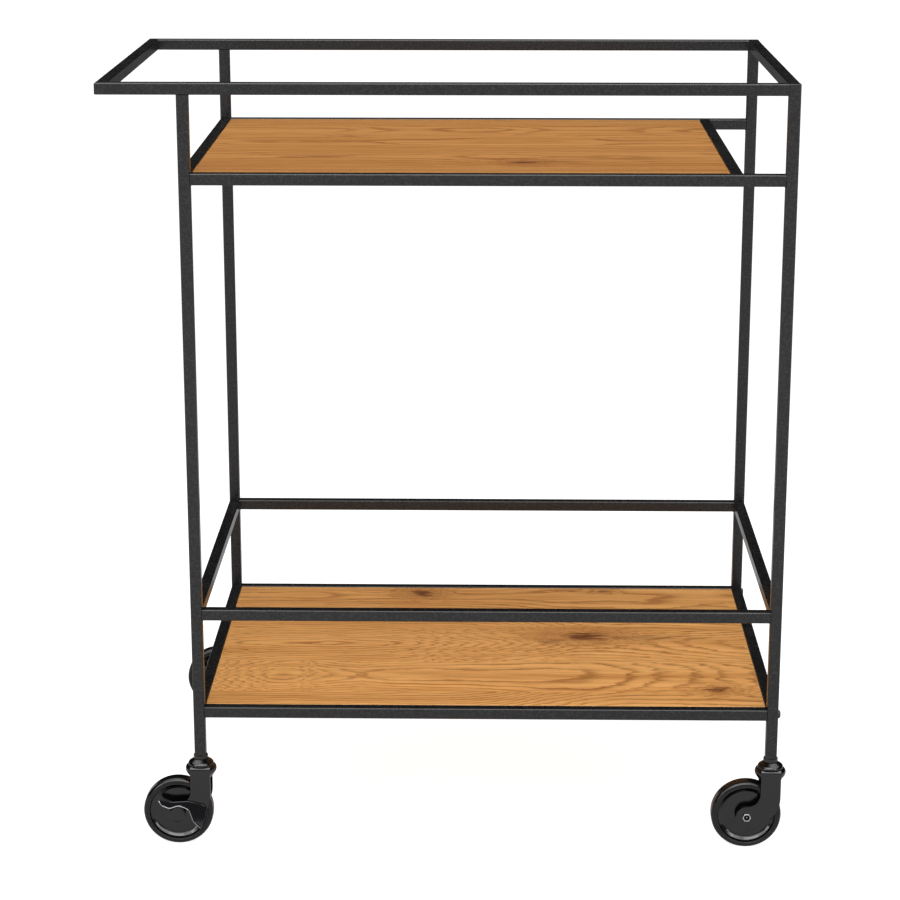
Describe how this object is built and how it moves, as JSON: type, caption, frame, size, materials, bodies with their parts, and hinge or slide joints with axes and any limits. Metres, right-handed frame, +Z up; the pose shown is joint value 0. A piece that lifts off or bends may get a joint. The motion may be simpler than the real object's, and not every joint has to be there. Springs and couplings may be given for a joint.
{
  "type": "bar cart",
  "caption": "Bar cart with a black square-tube frame, wood shelves, a push handle, a guard rail around the lower shelf and swivel casters with brake levers.",
  "frame": {"origin": "on the floor, at the middle of the whole cart's plan", "axes": "+X points away from the handle, +Y to the back of the cart, +Z up"},
  "size_m": [0.715, 0.4404, 0.82],
  "materials": {
    "frame_coating": "matte black powder coat",
    "shelf_wood": "golden oak veneer, satin lacquer",
    "screw_metal": "zinc plated",
    "bolt_metal": "black oxide",
    "insert_metal": "plain steel",
    "plug_plastic": "black nylon",
    "stem_metal": "zinc plated",
    "socket_plastic": "moulded black nylon",
    "ball_metal": "polished bearing steel",
    "caster_metal": "glossy black coat on pressed steel",
    "axle_metal": "black nickel plate",
    "bush_plastic": "natural nylon",
    "hub_plastic": "moulded black plastic",
    "tyre_rubber": "smooth black rubber"
  },
  "bodies": {
    "frame": {"front_left_post": "frame_coating", "front_right_post": "frame_coating", "back_left_post": "frame_coating", "back_right_post": "frame_coating", "top_front_rail": "frame_coating", "top_back_rail": "frame_coating", "handle_bar": "frame_coating", "top_right_bar": "frame_coating", "upper_front_rail": "frame_coating", "upper_back_rail": "frame_coating", "upper_left_crossbar": "frame_coating", "upper_inset_crossbar": "frame_coating", "guard_front_rail": "frame_coating", "guard_back_rail": "frame_coating", "guard_left_crossbar": "frame_coating", "guard_right_crossbar": "frame_coating", "lower_front_rail": "frame_coating", "lower_back_rail": "frame_coating", "lower_left_crossbar": "frame_coating", "lower_right_crossbar": "frame_coating", "upper_shelf_panel": "shelf_wood", "lower_shelf_panel": "shelf_wood", "upper_shelf_tabs": "frame_coating", "lower_shelf_tabs": "frame_coating", "panel_screws": "screw_metal", "frame_bolts": "bolt_metal", "threaded_inserts": "insert_metal", "rail_plugs": "plug_plastic", "caster_stems": "stem_metal", "stem_sockets": "socket_plastic", "bearing_balls": "ball_metal", "front_left_caster_cap": "caster_metal", "front_right_caster_cap": "caster_metal", "back_left_caster_cap": "caster_metal", "back_right_caster_cap": "caster_metal"},
    "front_left_swivel": {"front_left_fork": "caster_metal", "front_left_axle": "axle_metal", "front_left_axle_bush": "bush_plastic"},
    "front_left_wheel": {"front_left_hub": "hub_plastic", "front_left_tyre": "tyre_rubber"},
    "front_left_brake": {"front_left_brake_lever": "caster_metal"},
    "front_right_swivel": {"front_right_fork": "caster_metal", "front_right_axle": "axle_metal", "front_right_axle_bush": "bush_plastic", "front_right_axle_nut": "axle_metal"},
    "front_right_wheel": {"front_right_hub": "hub_plastic", "front_right_tyre": "tyre_rubber"},
    "back_left_swivel": {"back_left_fork": "caster_metal", "back_left_axle": "axle_metal", "back_left_axle_bush": "bush_plastic"},
    "back_left_wheel": {"back_left_hub": "hub_plastic", "back_left_tyre": "tyre_rubber"},
    "back_left_brake": {"back_left_brake_lever": "caster_metal"},
    "back_right_swivel": {"back_right_fork": "caster_metal", "back_right_axle": "axle_metal", "back_right_axle_bush": "bush_plastic", "back_right_axle_nut": "axle_metal"},
    "back_right_wheel": {"back_right_hub": "hub_plastic", "back_right_tyre": "tyre_rubber"}
  },
  "joints": [
    {"name": "front_left_caster_turn", "type": "hinge", "parent": "frame", "child": "front_left_swivel", "pos_m": [-0.2701, -0.204, 0.086], "axis": [0, 0, 1], "continuous": true},
    {"name": "front_left_wheel_spin", "type": "hinge", "parent": "front_left_swivel", "child": "front_left_wheel", "pos_m": [-0.2951, -0.204, 0.0375], "axis": [0, 1, 0], "continuous": true},
    {"name": "front_left_brake_tilt", "type": "hinge", "parent": "front_left_swivel", "child": "front_left_brake", "pos_m": [-0.2951, -0.204, 0.0375], "axis": [0, -1, 0], "range_deg": [0, 30]},
    {"name": "front_right_caster_turn", "type": "hinge", "parent": "frame", "child": "front_right_swivel", "pos_m": [0.3409, -0.204, 0.086], "axis": [0, 0, 1], "continuous": true},
    {"name": "front_right_wheel_spin", "type": "hinge", "parent": "front_right_swivel", "child": "front_right_wheel", "pos_m": [0.3159, -0.204, 0.0375], "axis": [0, 1, 0], "continuous": true},
    {"name": "back_left_caster_turn", "type": "hinge", "parent": "frame", "child": "back_left_swivel", "pos_m": [-0.2701, 0.204, 0.086], "axis": [0, 0, 1], "continuous": true},
    {"name": "back_left_wheel_spin", "type": "hinge", "parent": "back_left_swivel", "child": "back_left_wheel", "pos_m": [-0.2951, 0.204, 0.0375], "axis": [0, 1, 0], "continuous": true},
    {"name": "back_left_brake_tilt", "type": "hinge", "parent": "back_left_swivel", "child": "back_left_brake", "pos_m": [-0.2951, 0.204, 0.0375], "axis": [0, -1, 0], "range_deg": [0, 30]},
    {"name": "back_right_caster_turn", "type": "hinge", "parent": "frame", "child": "back_right_swivel", "pos_m": [0.3409, 0.204, 0.086], "axis": [0, 0, 1], "continuous": true},
    {"name": "back_right_wheel_spin", "type": "hinge", "parent": "back_right_swivel", "child": "back_right_wheel", "pos_m": [0.3159, 0.204, 0.0375], "axis": [0, 1, 0], "continuous": true}
  ]
}
